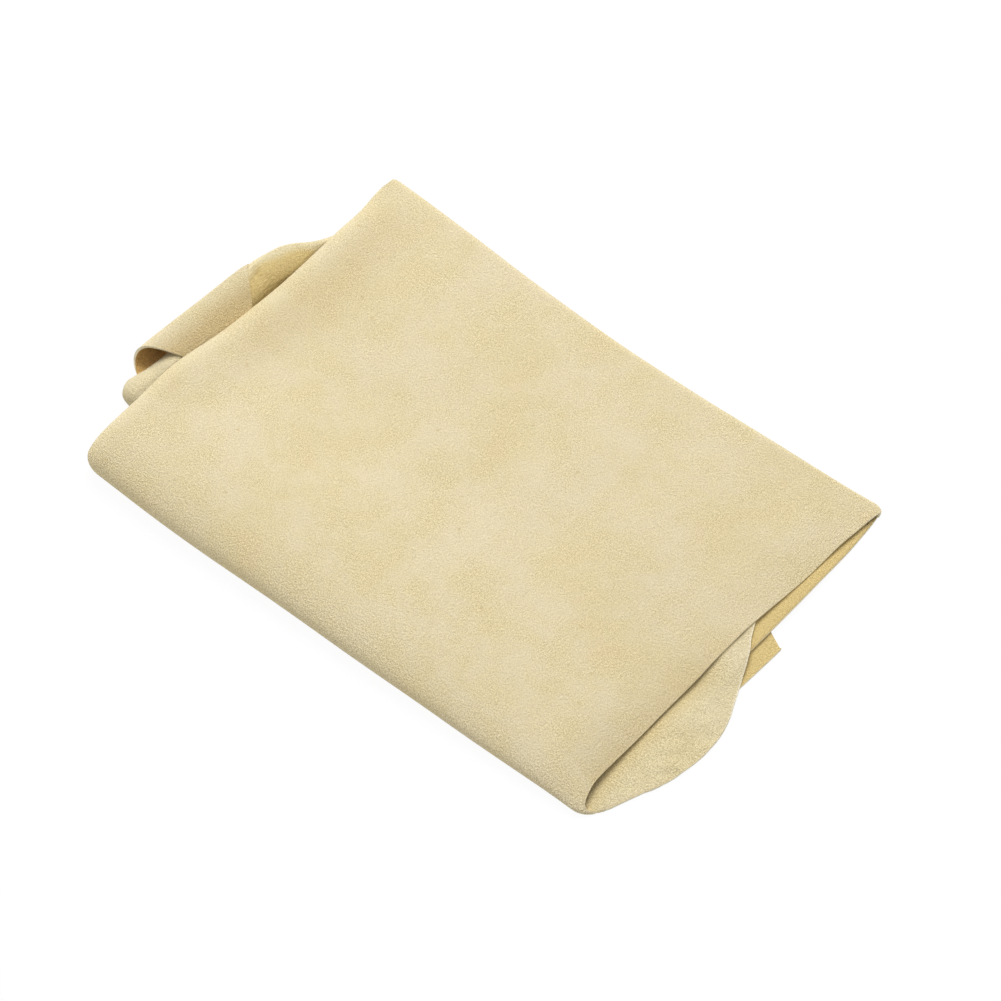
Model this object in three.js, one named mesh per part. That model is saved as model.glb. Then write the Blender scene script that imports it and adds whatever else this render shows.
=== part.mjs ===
import * as THREE from "three";

// Leather, and the clearances between neighbouring stretches of it
const LEATHER = 1.2;
const SEAM = 0.3;
const PARTING = 5;
const CUT_EDGE_CLEARANCE = 1.6;

// Folded packet: length along the folds, width from fold to fold, height of the back fold
const PACKET_LENGTH = 300;
const PACKET_WIDTH = 216;
const BACK_FOLD = 8;

// Front fold, a soft roll that tapers to the right: height, and how far its crown stands back
const FRONT_FOLD_LEFT = 19;
const FRONT_FOLD_RIGHT = 10;
const CROWN_BACK_LEFT = 22;
const CROWN_BACK_RIGHT = 13;

// Front fold: how far it bulges forward, and how much of its height lies under its foremost line
const BULGE_LEFT = 4.4;
const BULGE_MIDDLE = 6.4;
const BULGE_RIGHT = 0.9;
const UNDER_SHARE = 0.46;

// Top leaf: how far its side edges stand off the packet's half length
const LEFT_AT_FRONT = 4.2;
const LEFT_AT_WAIST = 3.4;
const LEFT_AT_BACK = -0.4;
const RIGHT_AT_FRONT = -7.8;
const RIGHT_AT_WAIST = -11;
const RIGHT_AT_BACK = -0.4;

// Top leaf: the slope down from the front fold, its sag, and its right edge that droops
const FRONT_SLOPE = 105;
const BACK_SLOPE = 50;
const SAG = 1;
const DROOP_WIDTH = 20;
const DROOP_HEIGHT = 4.4;

// Front leaf: the flap on the right, and its cut edge, as shares of the packet's width
const FLAP_START = 1.6;
const FLAP_REACH = 19;
const FLAP_WIDEST = 0.28;
const FLAP_CORNER_IN = 7;
const FLAP_CORNER_AT = 0.6;
const CUT_LEFT_AT = 0.82;
const CUT_BOW = 0.04;

// Rolled margin on the left: how far its tongue, waist and lobe stand out, and where across the packet
const MARGIN_INSET = 4;
const MARGIN_STEEPNESS = 0.31;
const MARGIN_CREST = 0.25;
const TONGUE_OUT = 21.4;
const TONGUE_START = 0.168;
const TONGUE_AT = 0.21;
const WAIST_OUT_NEAR = 20;
const WAIST_OUT_FAR = 18;
const LOBE_OUT = 20.6;
const LOBE_AT = 0.65;
const LOBE_END = 0.83;

// Leg of the skin, rolled over on the left: height and bulge of the roll, and taper of the leg
const ROLL_HEIGHT_NEAR = 12.6;
const ROLL_HEIGHT_FAR = 11;
const ROLL_BULGE_NEAR = 5.7;
const ROLL_BULGE_MIDDLE = 5.2;
const ROLL_BULGE_FAR = 1.5;
const LEG_NEAR = 0.25;
const LEG_FAR = 0.615;
const LEG_TAPER_NEAR = 0.53;
const LEG_TAPER_FAR = 0.7;
const LEG_END_HEIGHT = 6.2;
const LEG_CLEARANCE = 1.4;

// Corner of the back leaf, turned under on the right
const TURNED_REACH = 11;
const TURNED_BACK = 0.575;
const TURNED_FROM = 0.56;
const TURN_LINE_FROM = 0.8;
const TURNED_TAIL = 8;

// Facets
const FOLD_SEGMENTS = 14;
const EDGE_SEGMENTS = 10;
const LENGTH_SEGMENTS = 22;
const WIDTH_SEGMENTS = 12;
const MARGIN_SEGMENTS = 28;

const { lerp, inverseLerp, smoothstep, clamp } = THREE.MathUtils;
const half = PACKET_LENGTH / 2;
const middle = LEATHER / 2;
const backRadius = BACK_FOLD / 2;
const backEnd = PACKET_WIDTH - backRadius - SEAM;
const backCrown = BACK_FOLD - middle;
const leftFront = -half - LEFT_AT_FRONT;
const rightFront = half + RIGHT_AT_FRONT;
const leftBack = -half - LEFT_AT_BACK;
const rightBack = half + RIGHT_AT_BACK;
const flapStart = half + FLAP_START;
const marginInner = -half + MARGIN_INSET;
const legNear = LEG_NEAR * PACKET_WIDTH;
const legFar = LEG_FAR * PACKET_WIDTH;

const at = (x, y) => new THREE.Vector2(x, y);
const shifted = (point, dx, dy) => at(point.x + dx, point.y + dy);
const bow = (from, through, to, t) => new THREE.QuadraticBezierCurve(
  at(from, 0), at(through, 0), at(to, 0)).getPoint(t).x;

const root = new THREE.Group();
root.name = "chamois_leather";

function add(name, geometry, colour, roughness) {
  const material = new THREE.MeshStandardMaterial({ color: colour, roughness, metalness: 0 });
  const mesh = new THREE.Mesh(geometry, material);
  mesh.name = name;
  root.add(mesh);
}

// A leaf: a grid over its middle surface, half the leather to each side, closed round its rim
function leaf(surface, across, along) {
  const points = [];
  const faces = [];
  const step = 1e-3;
  const layer = (across + 1) * (along + 1);
  const spot = (i, j, side) => side * layer + j * (across + 1) + i;
  const quad = (a, b, c, d) => faces.push(a, b, c, a, c, d);
  for (const side of [1, -1]) {
    for (let j = 0; j <= along; j += 1) {
      for (let i = 0; i <= across; i += 1) {
        const u = i / across;
        const v = j / along;
        const du = surface(Math.min(u + step, 1), v).sub(surface(Math.max(u - step, 0), v));
        const dv = surface(u, Math.min(v + step, 1)).sub(surface(u, Math.max(v - step, 0)));
        const normal = du.cross(dv).normalize();
        points.push(surface(u, v).addScaledVector(normal, side * middle));
      }
    }
  }
  for (let j = 0; j < along; j += 1) {
    for (let i = 0; i < across; i += 1) {
      quad(spot(i, j, 0), spot(i + 1, j, 0), spot(i + 1, j + 1, 0), spot(i, j + 1, 0));
      quad(spot(i, j, 1), spot(i, j + 1, 1), spot(i + 1, j + 1, 1), spot(i + 1, j, 1));
    }
  }
  for (let i = 0; i < across; i += 1) {
    quad(spot(i, 0, 1), spot(i + 1, 0, 1), spot(i + 1, 0, 0), spot(i, 0, 0));
    quad(spot(i + 1, along, 1), spot(i, along, 1), spot(i, along, 0), spot(i + 1, along, 0));
  }
  for (let j = 0; j < along; j += 1) {
    quad(spot(0, j + 1, 1), spot(0, j, 1), spot(0, j, 0), spot(0, j + 1, 0));
    quad(spot(across, j, 1), spot(across, j + 1, 1), spot(across, j + 1, 0), spot(across, j, 0));
  }
  const geometry = new THREE.BufferGeometry().setFromPoints(points);
  geometry.setIndex(faces);
  geometry.computeVertexNormals();
  return geometry;
}

// A fold: half a ring of leather, open towards +x of its own shape
function foldShape(radius) {
  const shape = new THREE.Shape();
  shape.absarc(0, 0, radius, Math.PI / 2, Math.PI * 1.5, false);
  shape.absarc(0, 0, radius - LEATHER, Math.PI * 1.5, Math.PI / 2, true);
  shape.closePath();
  return shape;
}

// A fold run between two points, its open side to the left of the run as seen from above
function fold(radius, from, to, height) {
  const run = to.clone().sub(from);
  const geometry = new THREE.ExtrudeGeometry(foldShape(radius), {
    depth: run.length(), bevelEnabled: false, curveSegments: FOLD_SEGMENTS });
  const along = new THREE.Vector3(run.x, run.y, 0).normalize();
  const up = new THREE.Vector3(0, 0, 1);
  const open = up.clone().cross(along);
  geometry.applyMatrix4(new THREE.Matrix4().makeBasis(open, up, along));
  geometry.translate(from.x, from.y, height);
  return geometry;
}

function plate(shape) {
  return new THREE.ExtrudeGeometry(shape, {
    depth: LEATHER, bevelEnabled: false, curveSegments: EDGE_SEGMENTS });
}

// Front fold: its foremost line, its crown and its foot, at a place along the packet
const foldShare = (x) => clamp(inverseLerp(leftFront, flapStart, x), 0, 1);
const foldHeight = (x) => lerp(FRONT_FOLD_LEFT, FRONT_FOLD_RIGHT, foldShare(x));
const frontLine = (x) => -bow(BULGE_LEFT, BULGE_MIDDLE, BULGE_RIGHT, foldShare(x));
const crownLine = (x) => frontLine(x) + lerp(CROWN_BACK_LEFT, CROWN_BACK_RIGHT, foldShare(x));
const underRadius = (x) => UNDER_SHARE * (foldHeight(x) - LEATHER);
const foldFoot = (x) => frontLine(x) + underRadius(x);

// A quarter ellipse from the crown to the foremost line, then a quarter circle to the table
function frontBend(u, v) {
  const angle = Math.PI * v;
  const x = lerp(leftFront, lerp(rightFront, flapStart, v), u);
  const under = underRadius(x);
  const upper = angle < Math.PI / 2;
  const deep = upper ? crownLine(x) - frontLine(x) : under;
  const tall = upper ? foldHeight(x) - LEATHER - under : under;
  return new THREE.Vector3(
    x,
    frontLine(x) + deep * (1 - Math.sin(angle)),
    middle + under + tall * Math.cos(angle),
  );
}

// Columns of a leaf, closer together towards its two side edges
const gathered = (u) => lerp(u, (1 - Math.cos(Math.PI * u)) / 2, 0.8);

// Top leaf: from the crown of the front fold down into its sag, on to the back fold, drooping on the right
function topSurface(u, v) {
  const left = bow(leftFront, -half - LEFT_AT_WAIST, leftBack, v);
  const right = bow(rightFront, half + RIGHT_AT_WAIST, rightBack, v);
  const x = lerp(left, right, gathered(u));
  const crown = crownLine(x);
  const y = lerp(crown + SEAM, backEnd, v);
  const sloped = lerp(foldHeight(x) - middle, backCrown - SAG, smoothstep(y, crown, crown + FRONT_SLOPE));
  const level = lerp(sloped, backCrown, smoothstep(y, backEnd - BACK_SLOPE, backEnd));
  const nearEdge = 1 - smoothstep(right - x, 0, DROOP_WIDTH);
  const offFolds = smoothstep(y, crown, crown + 2 * DROOP_WIDTH) * smoothstep(backEnd - y, 0, DROOP_WIDTH);
  return new THREE.Vector3(x, y, lerp(level, DROOP_HEIGHT, nearEdge * offFolds));
}

add("top_leaf", leaf(topSurface, LENGTH_SEGMENTS, WIDTH_SEGMENTS), 0xe5d6ad, 0.95);
add("front_bend", leaf(frontBend, LENGTH_SEGMENTS, FOLD_SEGMENTS), 0xe7d9b1, 0.95);
add("back_bend", fold(backRadius, at(rightBack, PACKET_WIDTH - backRadius),
  at(leftBack, PACKET_WIDTH - backRadius), backRadius), 0xe0d0a4, 0.95);

// Front leaf: from the front fold's foot, with the flap on the right and the hidden cut edge behind
const flapSide = at(half + FLAP_REACH, FLAP_WIDEST * PACKET_WIDTH);
const flapCorner = at(half - FLAP_CORNER_IN, FLAP_CORNER_AT * PACKET_WIDTH);
const flapFoot = at(flapStart, foldFoot(flapStart) + SEAM);
const flapFront = new THREE.CubicBezierCurve(
  flapFoot,
  shifted(flapFoot, FLAP_REACH * 0.18, PACKET_WIDTH * 0.04),
  shifted(flapSide, 0, -PACKET_WIDTH * 0.1),
  flapSide,
);
const flapBack = new THREE.CubicBezierCurve(
  flapSide,
  shifted(flapSide, 0, PACKET_WIDTH * 0.11),
  shifted(flapCorner, FLAP_CORNER_IN * 1.7, -PACKET_WIDTH * 0.115),
  flapCorner,
);
const cutLeft = at(marginInner, CUT_LEFT_AT * PACKET_WIDTH);
const cutEdge = new THREE.CubicBezierCurve(
  flapCorner,
  shifted(flapCorner, -FLAP_CORNER_IN * 2, PACKET_WIDTH * 0.12),
  shifted(cutLeft, half * 0.6, -PACKET_WIDTH * CUT_BOW),
  cutLeft,
);
const tongueStart = TONGUE_START * PACKET_WIDTH;

function curveTo(shape, curve) {
  shape.bezierCurveTo(curve.v1.x, curve.v1.y, curve.v2.x, curve.v2.y, curve.v3.x, curve.v3.y);
}

const frontShape = new THREE.Shape();
frontShape.moveTo(leftFront, foldFoot(leftFront) + SEAM);
for (let i = 1; i <= LENGTH_SEGMENTS; i += 1) {
  const x = lerp(leftFront, flapStart, i / LENGTH_SEGMENTS);
  frontShape.lineTo(x, foldFoot(x) + SEAM);
}
curveTo(frontShape, flapFront);
curveTo(frontShape, flapBack);
curveTo(frontShape, cutEdge);
frontShape.lineTo(marginInner, tongueStart);
curveTo(frontShape, new THREE.CubicBezierCurve(
  at(marginInner, tongueStart),
  at(marginInner, tongueStart * 0.6),
  at(leftFront, tongueStart * 0.6),
  at(leftFront, foldFoot(leftFront) + SEAM),
));
add("front_leaf", plate(frontShape), 0xdfd3ad, 1);

// Rolled margin: the front leaf's left side humps up into a soft finger and comes down to the table again
const waistNear = -half - WAIST_OUT_NEAR;
const waistFar = -half - WAIST_OUT_FAR;
const lobe = at(-half - LOBE_OUT, LOBE_AT * PACKET_WIDTH);
const sidePoints = [
  at(-half, tongueStart),
  at(-half - TONGUE_OUT * 0.65, tongueStart * 1.04),
  at(-half - TONGUE_OUT, TONGUE_AT * PACKET_WIDTH),
  at(waistNear, legNear - LEATHER),
  at(waistFar, legFar),
  lobe,
  at(-half - LOBE_OUT * 0.63, lerp(LOBE_AT, LOBE_END, 0.42) * PACKET_WIDTH),
  at(-half, LOBE_END * PACKET_WIDTH),
];
const marginSide = new THREE.CatmullRomCurve3(
  sidePoints.map((point) => new THREE.Vector3(point.x, point.y, 0)), false, "centripetal");

function marginSurface(u, v) {
  const side = marginSide.getPointAt(v);
  const inner = marginInner - SEAM;
  const rise = MARGIN_STEEPNESS * (inner - side.x);
  const crest = lerp(side.x, inner, MARGIN_CREST);
  const x = lerp(side.x, inner, 1 - Math.cos(u * Math.PI / 2));
  const z = x < crest
    ? (middle + rise) * Math.sqrt(1 - ((crest - x) / (crest - side.x)) ** 2)
    : middle + rise * (1 + Math.cos(Math.PI * inverseLerp(crest, inner, x))) / 2;
  return new THREE.Vector3(x, side.y, z);
}

add("rolled_margin", leaf(marginSurface, FOLD_SEGMENTS, MARGIN_SEGMENTS), 0xdccda0, 1);

// Leg: from the margin's foot it bends out, up and back over the margin, and comes down beside the top leaf
const legShare = (y) => clamp(inverseLerp(legNear, legFar, y), 0, 1);
const legFoot = (y) => lerp(waistNear, waistFar, legShare(y)) - middle - SEAM;
const rollBulge = (y) => bow(ROLL_BULGE_NEAR, ROLL_BULGE_MIDDLE, ROLL_BULGE_FAR, legShare(y));
const rollRadius = (y) => (lerp(ROLL_HEIGHT_NEAR, ROLL_HEIGHT_FAR, legShare(y)) - LEATHER) / 2;
const legEnd = leftFront - LEG_CLEARANCE;
const bendRun = Math.PI * rollRadius(legNear);
const armRun = legEnd - legFoot(legNear);

function legAcross(run, v) {
  return lerp(legNear + LEG_TAPER_NEAR * run, legFar - LEG_TAPER_FAR * run, v);
}

function legBend(u, v) {
  const y = legAcross(bendRun * u, v);
  const angle = Math.PI * u;
  return new THREE.Vector3(
    legFoot(y) - rollBulge(y) * Math.sin(angle),
    y,
    middle + rollRadius(y) * (1 - Math.cos(angle)),
  );
}

function legArm(u, v) {
  const y = legAcross(bendRun + armRun * u, v);
  const height = middle + 2 * rollRadius(y);
  const profile = new THREE.QuadraticBezierCurve(
    at(legFoot(y) + SEAM, height),
    at(legEnd - rollRadius(y) * 0.6, height),
    at(legEnd, LEG_END_HEIGHT),
  );
  const point = profile.getPoint(u);
  return new THREE.Vector3(point.x, y, point.y);
}

add("leg_bend", leaf(legBend, FOLD_SEGMENTS, EDGE_SEGMENTS), 0xe4d4b3, 0.95);
add("leg_end", leaf(legArm, EDGE_SEGMENTS, EDGE_SEGMENTS), 0xe4d4b3, 0.95);

// Back leaf: lies on the table, and rises over its own turned corner on the right
const cornerLine = flapBack.getPoint(TURN_LINE_FROM);
const turnStart = shifted(cornerLine, 0, PARTING);
const turnEnd = shifted(flapCorner, 0, PARTING);
const backCut = new THREE.CurvePath();
backCut.add(new THREE.CubicBezierCurve(
  shifted(cutEdge.v3, 0, PARTING),
  shifted(cutEdge.v2, 0, PARTING),
  shifted(cutEdge.v1, 0, PARTING),
  turnEnd,
));
backCut.add(new THREE.LineCurve(turnEnd, turnStart));
const rise = LEATHER + SEAM;

function backSurface(u, v) {
  const cut = backCut.getPoint(u);
  const x = lerp(cut.x, lerp(leftBack, rightBack, u), v);
  const y = lerp(cut.y, backEnd, v);
  const overCorner = smoothstep(x, half * 0.45, half * 0.7);
  const offBackFold = 1 - smoothstep(y, PACKET_WIDTH * 0.75, PACKET_WIDTH * 0.9);
  return new THREE.Vector3(x, y, middle + rise * overCorner * offBackFold);
}

add("back_leaf", leaf(backSurface, 2 * LENGTH_SEGMENTS, WIDTH_SEGMENTS), 0xd6c38a, 1);

// Turned corner: flat on the table under the back leaf, with the small fold that joins the two
const turnedFront = shifted(flapBack.getPoint(TURNED_FROM), CUT_EDGE_CLEARANCE, 0);
const turnedSide = at(half + TURNED_REACH, TURNED_BACK * PACKET_WIDTH);
const turnedShape = new THREE.Shape();
turnedShape.moveTo(turnedFront.x, turnedFront.y);
turnedShape.lineTo(turnedSide.x, turnedSide.y);
turnedShape.lineTo(half, turnedSide.y + TURNED_REACH * 0.7);
turnedShape.lineTo(turnEnd.x, turnEnd.y + TURNED_TAIL);
turnedShape.lineTo(turnEnd.x, turnEnd.y);
turnedShape.lineTo(turnStart.x, turnStart.y);
turnedShape.closePath();
add("turned_corner", plate(turnedShape), 0xd4c188, 1);

const turnRadius = LEATHER + SEAM / 2;
const turnRun = turnStart.clone().sub(turnEnd).normalize();
const turnOut = at(-turnRun.y, turnRun.x).multiplyScalar(-SEAM);
const turnFrom = turnEnd.clone().add(turnOut).addScaledVector(turnRun, CUT_EDGE_CLEARANCE);
const turnTo = turnStart.clone().add(turnOut);
add("corner_bend", fold(turnRadius, turnFrom, turnTo, turnRadius), 0xd6c38a, 1);

// The frame: the middle of the packet's box, on the table
const box = new THREE.Box3().setFromObject(root);
const centre = box.getCenter(new THREE.Vector3());
for (const mesh of root.children) mesh.geometry.translate(-centre.x, -centre.y, -box.min.z);

export default root;
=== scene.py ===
"""A chamois leather, folded into a flat packet, dressed over its CAD frame."""

import math

import bmesh
import bpy
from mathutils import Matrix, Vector, noise


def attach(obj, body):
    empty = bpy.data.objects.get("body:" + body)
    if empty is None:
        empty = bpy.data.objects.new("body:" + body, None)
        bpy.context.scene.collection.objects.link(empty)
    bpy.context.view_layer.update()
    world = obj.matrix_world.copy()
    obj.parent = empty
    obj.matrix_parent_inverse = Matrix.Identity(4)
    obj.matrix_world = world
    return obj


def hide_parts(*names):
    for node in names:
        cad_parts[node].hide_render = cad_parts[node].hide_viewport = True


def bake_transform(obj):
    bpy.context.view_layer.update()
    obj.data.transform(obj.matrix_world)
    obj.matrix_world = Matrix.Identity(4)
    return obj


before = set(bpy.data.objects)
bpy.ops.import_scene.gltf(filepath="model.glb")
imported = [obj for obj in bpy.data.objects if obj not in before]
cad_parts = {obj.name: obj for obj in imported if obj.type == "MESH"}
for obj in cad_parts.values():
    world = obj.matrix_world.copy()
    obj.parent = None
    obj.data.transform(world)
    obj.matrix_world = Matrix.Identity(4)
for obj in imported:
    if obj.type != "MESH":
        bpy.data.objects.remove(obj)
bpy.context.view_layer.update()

bl_info = {
    "name": "Folded chamois leather",
    "version": (1, 0, 0),
    "blender": (4, 5, 0),
    "location": "View3D > Sidebar > Chamois",
    "description": "Builds a natural chamois skin folded into a flat packet",
    "category": "Object",
}

MM = 0.001
# The packet's own axes start at the outside of its front fold, halfway along the top leaf.
PACKET_ORIGIN = Vector((4.0, -105.233, 0.0)) * MM

# Driving sizes, in millimetres
LEATHER = 1.25
PACKET_WIDTH = 216.0
FRONT_FOLD = 16.0
BACK_FOLD = 8.0
LEG_ROLL = 12.6
WAVINESS = 1.1

# Rows and columns of the sheets
COLUMNS = 150
FINE_COLUMNS = 300
TOP_ROWS = 96
LIP_ROWS = 6
FRONT_BEND_ROWS = 30
BACK_BEND_ROWS = 14
LEAF_ROWS = 64
BACK_LEAF_ROWS = 40
ROLL_COLUMNS = 52
MARGIN_ROWS = 120
LEG_ROWS = 60
CORNER_COLUMNS, CORNER_ROWS = 40, 14

# Finishes in the order of a sheet's material slots
FINISHES = ("grain side", "flesh side", "cut edge")
# Toning along a sheet: tan on the outer side, partly handled tan and partly painted shade; on the inner side
# deep yellow and warm brown as painted warm shade, and a pale band as a painted highlight; rough where the
# nap stands up
TONES = ("tan", "yellow", "pale", "warm", "rough")
SHARP_RIM = math.radians(50)

# How far beyond the crown of the front fold the upper skin meets the front skin
CUT_LINE = 12.0
# Places across the packet at which the top leaf's outlines are read for the crown and for that cut line
CROWN_PLACE, CUT_PLACE = 16.0, 30.0

# Top leaf's left and right edges, in millimetres: place across the packet, then place along it
TOP_LEFT = [
    (8, -153.8), (30, -154), (66, -154.4), (92, -152.6), (120, -151.6), (150, -150.8),
    (180, -150.8), (196, -150.7), (206, -151.1), (212, -151.1), (216, -150.5),
]
TOP_RIGHT = [
    (5, 145.2), (9.3, 143.2), (17.8, 141.4), (31.4, 140.9), (52, 141.2), (71, 141.3),
    (90, 141.9), (112, 142.3), (130, 142.9), (142, 143.8), (154, 144.9), (168, 145.9),
    (190, 146.4), (200, 147.4), (208, 148.2), (216, 149.4),
]

# Height of the top leaf's right edge: place across the packet, then height
RIGHT_EDGE = [
    (0, 4.7), (16, 4.4), (30, 3.5), (48, 2.9), (70, 2.9), (86, 3.4),
    (104, 5), (116, 5.3), (136, 4), (170, 2.7), (216, 2.4),
]
# How far in from that edge the leather starts to droop
LIP_WIDTH = 27.0

# Rounded rim on the left of the top leaf and of the front fold: width and fall
RIM_WIDTH, RIM_FALL = 9.0, 4.6
FRONT_RIM_WIDTH, FRONT_RIM_FALL = 10.0, 6.6
# Rounded right end of the front fold: width, how far back it turns, and where it meets the table
END_WIDTH, END_TURN = 6.0, 3.7
FOLD_END = 150.7

# Top leaf: how far it settles below the back fold, its rise to the right and over the margin
SETTLE = 0.3
RIGHT_RISE = 2.0
MARGIN_RISE = 2.6
# Stretches over which it slopes down from the front crown, left and right, and into the back fold
FRONT_SLOPE_LEFT, FRONT_SLOPE_RIGHT = 105.0, 70.0
BACK_SLOPE = 50.0

# Front and back folds: place along the packet, then size or line
FOLD_HEIGHT = [(-152, 19), (-60, 17), (40, 14.5), (110, 11.8), (150, 9.2)]
FOLD_DEPTH = [(-152, 22), (0, 22), (100, 18), (150, 13)]
FRONT_LINE = [(-152, -4), (-104, -5.5), (-40, -4.6), (40, -3.7), (110, -2.1), (150, -0.9)]
BACK_LINE = [(-152, 3), (-95, 0.2), (-40, -3.2), (10, -4.2), (70, -2.4), (120, 2), (152, 5.1)]
# Share of the front fold's height at which it reaches furthest forward
LOW_SHARE = 0.46
# Rounded corners of the back fold: where each starts along the packet, its reach and how far it draws in
BACK_RIGHT_CORNER = (144, 5.4, 3.0)
BACK_LEFT_CORNER = (-146.6, 3.9, 0.8)
# How much flatter the back fold is pressed at its right end
BACK_PRESS = 2.0
# Slow waves of the fold lines, per millimetre
FOLD_WAVES = 0.02
# Stands for a sheet's edge where none is near
NO_EDGE = 1000

# Back leaf's cut edge and the two edges of its turned corner: place along the packet, then across it
BACK_CUT = [(-149, 182), (-70, 177), (10, 171), (80, 160), (122, 148), (140, 131), (147, 112), (150.5, 104)]
CORNER_NEAR = [(136, 134), (143, 118), (149, 104), (153, 88)]
CORNER_FAR = [(128, 144), (149.6, 132.2), (159.4, 127.2), (160.3, 126.2), (159.6, 110), (158.4, 90)]
# Bulge of the back leaf's right side, its gap over the corner and the front leaf's rise over both
BACK_BULGE = 1.7
CORNER_GAP = 0.25
CORNER_RISE = 2.6

# Front leaf's edge, from the front fold's left end round to its right end: place along, then across
NATURAL_EDGE = [
    (-153.4, 5), (-152, 12), (-149, 22), (-146.6, 34), (-146, 60), (-146, 120), (-146, 178),
    (-120, 177), (-50, 171), (30, 166), (96, 156), (126, 147), (138, 138), (143, 130),
    (147, 122), (151, 115.8), (156, 105), (159.6, 97), (163.2, 88.5), (165.6, 83), (168.2, 73),
    (169, 62), (167.6, 48.5), (164.5, 35.8), (159.7, 24.8), (155.4, 14.2), (153.8, 10.2), (152.3, 7.9),
]

# Rolled margin on the left: place across the packet, then its left side, its height or its crest
MARGIN_SIDE = [
    (37.4, -161), (38.4, -165.6), (41, -169), (46, -171.2), (51, -170.2), (56, -169), (66, -167.4),
    (80, -167), (100, -168.2), (121, -168.6), (129, -169.2), (132, -170), (135, -170.2),
    (139, -169.5), (144, -168.2), (150, -166.4), (156, -163.4), (163, -158.6), (171, -154.4), (180, -150.8),
]
MARGIN_HEIGHT = [
    (37.4, 1.6), (38.6, 4), (41, 5.8), (47, 6.8), (56, 6.9), (64, 8.2), (74, 8.4),
    (110, 7.7), (121, 8.4), (129, 9.5), (132, 9.9), (135, 9.9),
    (139, 9.4), (144, 9), (150, 8.4), (156, 7), (163, 5.4), (171, 4), (180, 2.4),
]
MARGIN_CREST = [
    (37, -163), (50, -162), (64, -159.5), (74, -161), (84, -163), (112, -163), (121, -164.6),
    (129, -166.6), (133, -167.2), (138, -166.5), (144, -165.3), (150, -163.8),
    (156, -161), (163, -155.6), (171, -151.5), (180, -148.6),
]
MARGIN_INNER = -146.0
# Least width of the margin's round outer side
CREST_INSET = 2.0
# Inner side of the full roll behind the leg, at its near and far ends, and the hollow beside it
ROLL_INNER_NEAR, ROLL_INNER_FAR = -154.8, -151.4
POCKET_DEPTH = 1.4

# Rolled leg: place across the packet, then its foot's line, its roll's bulge and half height, its run
LEG_FOOT = [
    (52, -170.9), (60, -170.9), (75, -170.4), (100, -169.6), (121, -169.1), (129, -168.8), (134, -167.7),
]
LEG_BULGE = [(52, 5.4), (60, 5.3), (75, 4.9), (100, 3.4), (121, 2.2), (134, 1.1)]
LEG_RISE = [(52, 6.2), (75, 5.9), (100, 5.5), (121, 5.1), (129, 4.75), (134, 4.3)]
LEG_RUN = [(52, 36), (100, 36), (113, 36), (119, 30), (124, 23), (129, 16), (134, 8)]
LEG_NEAR, LEG_FAR = 52.8, 134.0
# Slant of its near end, then run, reach and drop of the arm that lies over the margin
LEG_SLANT = 0.53
LEG_ARM, LEG_REACH = 18.0, 16.0
LEG_DROP_NEAR, LEG_DROP_FAR = 5.2, 6.0
# Stretch of the leg that lies on the table, from under the margin to the foot of the roll
LEG_UNDER = 5.0

# Where the margin, the leg and the turned corner lie on the flat skin
MARGIN_FLAT, LEG_FLAT, CORNER_FLAT = 90, -24, 420

# Sockets of a Mix node that mixes colours
MIX_FACTOR, MIX_A, MIX_B, MIX_RESULT = 0, 6, 7, 2
# Darkening and brightening by the nap, as linear colour factors
GRAIN_NAP = (0.79, 0.755, 0.67), (1.21, 1.22, 1.26)
FLESH_NAP = (0.78, 0.745, 0.66), (1.2, 1.21, 1.25)
SHEEN_TINT = (1.0, 0.94, 0.8, 1.0)

# Stage, in metres, watts and degrees
FLOOR_HALF = 6.0
FLOOR_GAP = 0.00005
FLOOR_WHITE = 0.95
SKY_STRENGTH = 0.47
LAMP_WIDTH = 2.4
LAMP_POWER = 98
LAMP_PLACE = (-1.2, 1.28, 2.5)
CAMERA_AZIMUTH, CAMERA_ELEVATION = 39.894, 55.578
CAMERA_DISTANCE = 2.5
CAMERA_CLIP = 20.0
# What the camera looks at, in the packet's millimetres, then its lens and sensor
CAMERA_TARGET = Vector((10.081, 105.863, 5.0))
CAMERA_LENS, CAMERA_SENSOR = 192.4, 36.0


def smooth(low, high, value):
    """0 below low, 1 above high, eased between; high may be below low."""
    t = min(max((value - low) / (high - low), 0.0), 1.0)
    return t * t * (3.0 - 2.0 * t)


def mix(a, b, t):
    return a + (b - a) * t


def drift(x, y, scale, seed):
    """Slow, repeatable waviness between about -1 and 1."""
    return noise.noise(Vector((x * scale, y * scale, seed)))


def through(points, at):
    """Smooth value through (place, value) points."""
    last = len(points) - 1
    index = 0
    while index < last - 1 and at > points[index + 1][0]:
        index += 1
    (p0, v0), (p1, v1) = points[index], points[index + 1]
    before = points[max(index - 1, 0)]
    after = points[min(index + 2, last)]
    slope0 = (v1 - before[1]) / (p1 - before[0])
    slope1 = (after[1] - v0) / (after[0] - p0)
    run = p1 - p0
    t = min(max((at - p0) / run, 0.0), 1.0)
    return (
        v0 * (1 + 2 * t) * (1 - t) ** 2
        + slope0 * run * t * (1 - t) ** 2
        + v1 * t * t * (3 - 2 * t)
        + slope1 * run * t * t * (t - 1)
    )


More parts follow.
